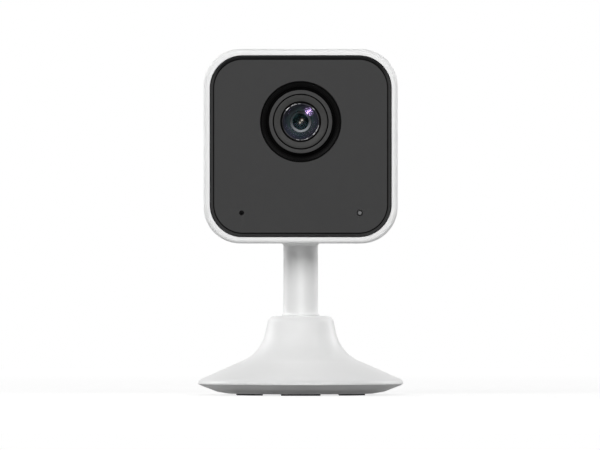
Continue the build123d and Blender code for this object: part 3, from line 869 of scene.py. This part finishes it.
def sleeveMesh(name, outer, inner, place, floor, mouth, back, wall):
    # a closed sleeve from back to mouth with a rounded lip, hollow down to the floor
    metal, moulding = 0, 1
    work = bmesh.new()

    def loop(points, along, grow=0.0):
        made = []
        for across, up in points:
            share = 1 + grow / math.hypot(across, up)
            made.append(work.verts.new(place(across * share, up * share, along)))
        return made

    step = wall if mouth > back else -wall
    rings = [
        loop(outer, back),
        loop(outer, mouth - step * sleeveLip["back"]),
        loop(outer, mouth, -wall * sleeveLip["out"]),
        loop(inner, mouth, wall * sleeveLip["in"]),
        loop(inner, mouth - step * sleeveLip["deep"]),
        loop(inner, floor),
    ]
    for first, second in zip(rings[:-1], rings[1:-1]):
        bridge(work, first, second, metal)
    bridge(work, rings[-2], rings[-1], moulding)
    work.faces.new(rings[0])
    work.faces.new(rings[-1]).material_index = moulding
    bmesh.ops.recalc_face_normals(work, faces=work.faces)
    return meshFrom(work, name)


def shieldOutline(width, height, cut, corner=0.3, steps=5):
    # a flat oblong with its two lower corners cut off, all corners rounded
    right, top = width / 2, height / 2
    sharp = [(right, top), (-right, top), (-right, -top + cut)]
    sharp += [(-right + cut, -top), (right - cut, -top), (right, -top + cut)]
    points = []
    for index, spot in enumerate(sharp):
        here, before, after = Vector(spot), Vector(sharp[index - 1]), Vector(sharp[(index + 1) % len(sharp)])
        start = here + (before - here).normalized() * corner
        end = here + (after - here).normalized() * corner
        for step in range(steps + 1):
            share = step / steps
            bend = start * (1 - share) ** 2 + here * 2 * share * (1 - share) + end * share**2
            points.append((bend.x, bend.y))
    return points


def boxMesh(name, boxes, bevel):
    work = bmesh.new()
    for low, high in boxes:
        size = Vector(high) - Vector(low)
        for vert in bmesh.ops.create_cube(work, size=1.0)["verts"]:
            vert.co = Vector(low) + Vector([(part + 0.5) * length for part, length in zip(vert.co, size)])
    bmesh.ops.bevel(work, geom=work.edges, offset=bevel * mm, segments=2, affect="EDGES")
    return meshFrom(work, name)


usbSize = {
    "width": 7.5,
    "height": 2.7,
    "cut": 0.9,
    "innerCut": 0.8,
    "wall": 0.25,
    "deep": 5.0,
    "tongue": (3.7, 0.55, 4.2),
    "tongueUp": 0.15,
    "tongueBevel": 0.06,
    "contacts": 5,
    "pitch": 0.65,
    "contact": 0.34,
    "contactUp": (0.07, 0.17),
    "contactShort": 0.4,
    "contactBevel": 0.015,
}
usbLow, usbHigh = corners("usb_socket")
usbCentre = (usbLow + usbHigh) / 2
usbFloor = usbHigh.y - usbSize["deep"] * mm


def placeInlet(across, up, along):
    return (usbCentre.x + across * mm, along, usbCentre.z + up * mm)


def makeInlet(size):
    wall = size["wall"]
    outer = shieldOutline(size["width"], size["height"], size["cut"])
    inner = shieldOutline(size["width"] - 2 * wall, size["height"] - 2 * wall, size["innerCut"])
    return sleeveMesh("usbShell", outer, inner, placeInlet, usbFloor, usbHigh.y, usbLow.y, wall * mm)


def makeTongue(size):
    wide, tall, long = size["tongue"]
    low = placeInlet(-wide / 2, size["tongueUp"], usbFloor)
    high = placeInlet(wide / 2, size["tongueUp"] + tall, usbFloor + long * mm)
    return boxMesh("usbTongue", [(low, high)], size["tongueBevel"])


def makeContacts(size):
    long = size["tongue"][2] - size["contactShort"]
    bottom, top = size["contactUp"]
    boxes = []
    for index in range(size["contacts"]):
        across = (index - (size["contacts"] - 1) / 2) * size["pitch"]
        low = placeInlet(across - size["contact"] / 2, bottom, usbFloor)
        high = placeInlet(across + size["contact"] / 2, top, usbFloor + long * mm)
        boxes.append((low, high))
    return boxMesh("usbContacts", boxes, size["contactBevel"])


newPiece("usbShell", makeInlet(usbSize), [tinPlate, chipBlack], "head", ["usb_socket"])
newPiece("usbTongue", makeTongue(usbSize), [chipBlack], "head")
newPiece("usbContacts", makeContacts(usbSize), [gold], "head")

cardSize = {"wall": 0.25, "deep": 14.2, "cut": 0.2, "corners": (0.15, 0.12)}
cardLow, cardHigh = corners("card_socket")
cardCentre = (cardLow + cardHigh) / 2


def placeCard(across, up, along):
    return (along, cardCentre.y + up * mm, cardCentre.z + across * mm)


def makeCardSocket(size):
    width = (cardHigh.z - cardLow.z) / mm
    height = (cardHigh.y - cardLow.y) / mm
    wall = size["wall"]
    outerCorner, innerCorner = size["corners"]
    outer = shieldOutline(width, height, size["cut"], outerCorner)
    inner = shieldOutline(width - 2 * wall, height - 2 * wall, size["cut"], innerCorner)
    floor = cardLow.x + size["deep"] * mm
    return sleeveMesh("cardSocket", outer, inner, placeCard, floor, cardLow.x, cardHigh.x, wall * mm)


cardPaint = [tinPlate, chipBlack]
newPiece("cardSocket", makeCardSocket(cardSize), cardPaint, "head", ["card_socket"])
print("sockets made")

# floor, world, lamps and camera
floorLook = {
    "reach": 6.0,
    "turns": 96,
    "near": 0.22,  # the paper fades to white from here
    "far": 0.75,
    "paper": 0.38,
    "lift": 0.71,
    "roughness": 0.9,
    "shine": 0.1,
}


def makeFloor(look):
    # grey paper that looks white, and keeps the object's shadow near it
    work = bmesh.new()
    bmesh.ops.create_circle(work, cap_ends=True, segments=look["turns"], radius=look["reach"])
    mesh = meshFrom(work, "floor")
    piece = bpy.data.objects.new("floor", mesh)
    piece.location.z = cadLow.z
    bpy.context.scene.collection.objects.link(piece)
    grey = (look["paper"], look["paper"], look["paper"], 1)
    mat, tree, shader = startMaterial(
        "floor paper", Base_Color=grey, Roughness=look["roughness"], Specular_IOR_Level=look["shine"]
    )
    light = addNode(tree, "ShaderNodeLightPath").outputs
    seen = mathNode(tree, "MAXIMUM", light["Is Camera Ray"], light["Is Transmission Ray"])
    seen = mathNode(tree, "MAXIMUM", seen, light["Is Glossy Ray"])
    away = vectorNode(tree, "LENGTH", {0: objectPoint(tree)}, "Value")
    fade = remap(tree, away, 0.0, 1.0, look["near"], look["far"])
    lift = addNode(tree, "ShaderNodeEmission", {"Strength": look["lift"]})
    white = addNode(tree, "ShaderNodeEmission", {"Strength": 1.0})
    paper = addNode(tree, "ShaderNodeAddShader", {0: shader.outputs[0], 1: lift.outputs[0]})
    blend = addNode(tree, "ShaderNodeMixShader", {0: fade, 1: paper.outputs[0], 2: white.outputs[0]})
    final = addNode(tree, "ShaderNodeMixShader", {0: seen, 1: shader.outputs[0], 2: blend.outputs[0]})
    tree.links.new(final.outputs[0], tree.nodes["Material Output"].inputs["Surface"])
    mat.cycles.emission_sampling = "NONE"
    mesh.materials.append(mat)


makeFloor(floorLook)

worldLook = {
    "ambient": 0.0,
    "glossBack": 1.0,
    "glossFront": 0.03,
    "glossTop": 0.12,
    "frontToBack": (-0.86, -0.62),
    "sideToTop": (0.25, 0.75),
}


def makeWorld(look):
    # white to look at, and in gloss white behind the object and dark in front of it and above
    world = bpy.data.worlds.new("studio")
    bpy.context.scene.world = world
    world.use_nodes = True
    tree = world.node_tree
    light = addNode(tree, "ShaderNodeLightPath").outputs
    way = addNode(tree, "ShaderNodeTexCoord").outputs["Generated"]
    parts = addNode(tree, "ShaderNodeSeparateXYZ", {0: way}).outputs
    around = remap(tree, parts["Y"], look["glossFront"], look["glossBack"], *look["frontToBack"])
    above = remap(tree, parts["Z"], 1.0, look["glossTop"], *look["sideToTop"])
    studio = mathNode(tree, "MULTIPLY", around, above)
    gloss = mathNode(tree, "MAXIMUM", light["Is Glossy Ray"], light["Is Transmission Ray"])
    level = mixed(tree, "FLOAT", gloss, look["ambient"], studio)
    shown = mixed(tree, "FLOAT", light["Is Camera Ray"], level, 1.0)
    background = tree.nodes["Background"]
    background.inputs["Color"].default_value = (1, 1, 1, 1)
    tree.links.new(shown, background.inputs["Strength"])


makeWorld(worldLook)

lampRig = {  # azimuth right of the camera, elevation, distance, width, height, watts
    "leftSoftbox": (-40, 35, 1.0, 0.70, 0.60, 3.8),
    "rightSoftbox": (40, 35, 1.0, 0.70, 0.60, 2.3),
    "topSoftbox": (0, 36, 1.0, 1.00, 0.50, 3.6),
    "leftBack": (-120, 10, 1.0, 0.60, 0.80, 4.9),
    "rightBack": (120, 10, 1.0, 0.60, 0.80, 4.0),
    "backFill": (180, 6, 1.0, 0.50, 0.30, 3.0),
}
sparkRig = {  # two small lamps that only the glass catches
    "spark": (17, 21, 1.2, 0.12, 0.12, 15.0),
    "bloom": (18, 23, 1.2, 0.36, 0.36, 41.0),
}
speckRig = {"speck": (-9, -6, 0.35, 0.016, 0.010, 3.2)}  # a low one for the innermost glass
sheenRig = {"sheen": (0, 2, 1.0, 1.20, 0.50, 7.5)}  # a strip in front for the stem and the foot
rimRig = {"rimFill": (0, -1, 1.0, 1.20, 0.30, 1.1)}  # a soft fill for the rim of the head
glossless = ("topSoftbox", "backFill", "rimFill")  # lamps that leave no highlight
glossOnly = ("sheen",)  # lamps that leave nothing else


def makeLamps(rig, catchers=()):
    # lamps aimed at the middle of the object; with catchers, they light only those pieces
    aim = (cadLow + cadHigh) / 2
    if catchers:
        group = bpy.data.collections.new("lit by " + " and ".join(rig))
        for piece in catchers:
            group.objects.link(piece)
    for name, (turn, lift, distance, width, height, watts) in rig.items():
        data = bpy.data.lights.new(name, "AREA")
        data.shape = "ELLIPSE" if catchers else "RECTANGLE"
        data.size, data.size_y = width, height
        data.energy = watts
        lamp = bpy.data.objects.new(name, data)
        azimuth, elevation = math.radians(turn), math.radians(lift)
        flat = math.cos(elevation)
        way = Vector((math.sin(azimuth) * flat, -math.cos(azimuth) * flat, math.sin(elevation)))
        lamp.location = aim + way * distance
        lamp.rotation_euler = way.to_track_quat("Z", "Y").to_euler()
        lamp.visible_camera = False
        lamp.visible_glossy = name not in glossless
        lamp.visible_diffuse = name not in glossOnly
        if catchers:
            lamp.light_linking.receiver_collection = group
        bpy.context.scene.collection.objects.link(lamp)


makeLamps(lampRig)
makeLamps(sparkRig, [frontGlass, deepGlass])
makeLamps(speckRig, [deepGlass])
makeLamps(sheenRig, [nodes["stem"], nodes["base_shell"]])
makeLamps(rimRig, [nodes["head_shell"]])

cameraLook = {
    "distance": 4.0,
    "height": 0.0507,
    "side": -0.0002,
    "wide": 0.1786,  # what the view takes in, this far in front of the middle
    "wideAt": 0.008,
    "sensor": 36,
    "clip": (0.1, 50),
}


def makeCamera(look):
    data = bpy.data.cameras.new("camera")
    data.sensor_width = look["sensor"]
    data.lens = look["sensor"] * (look["distance"] - look["wideAt"]) / look["wide"]
    data.clip_start, data.clip_end = look["clip"]
    camera = bpy.data.objects.new("camera", data)
    camera.location = (look["side"], -look["distance"], look["height"])
    camera.rotation_euler = (math.radians(90), 0, 0)
    bpy.context.scene.collection.objects.link(camera)
    bpy.context.scene.camera = camera


makeCamera(cameraLook)
bpy.context.scene.view_settings.view_transform = "Standard"
print("studio made")
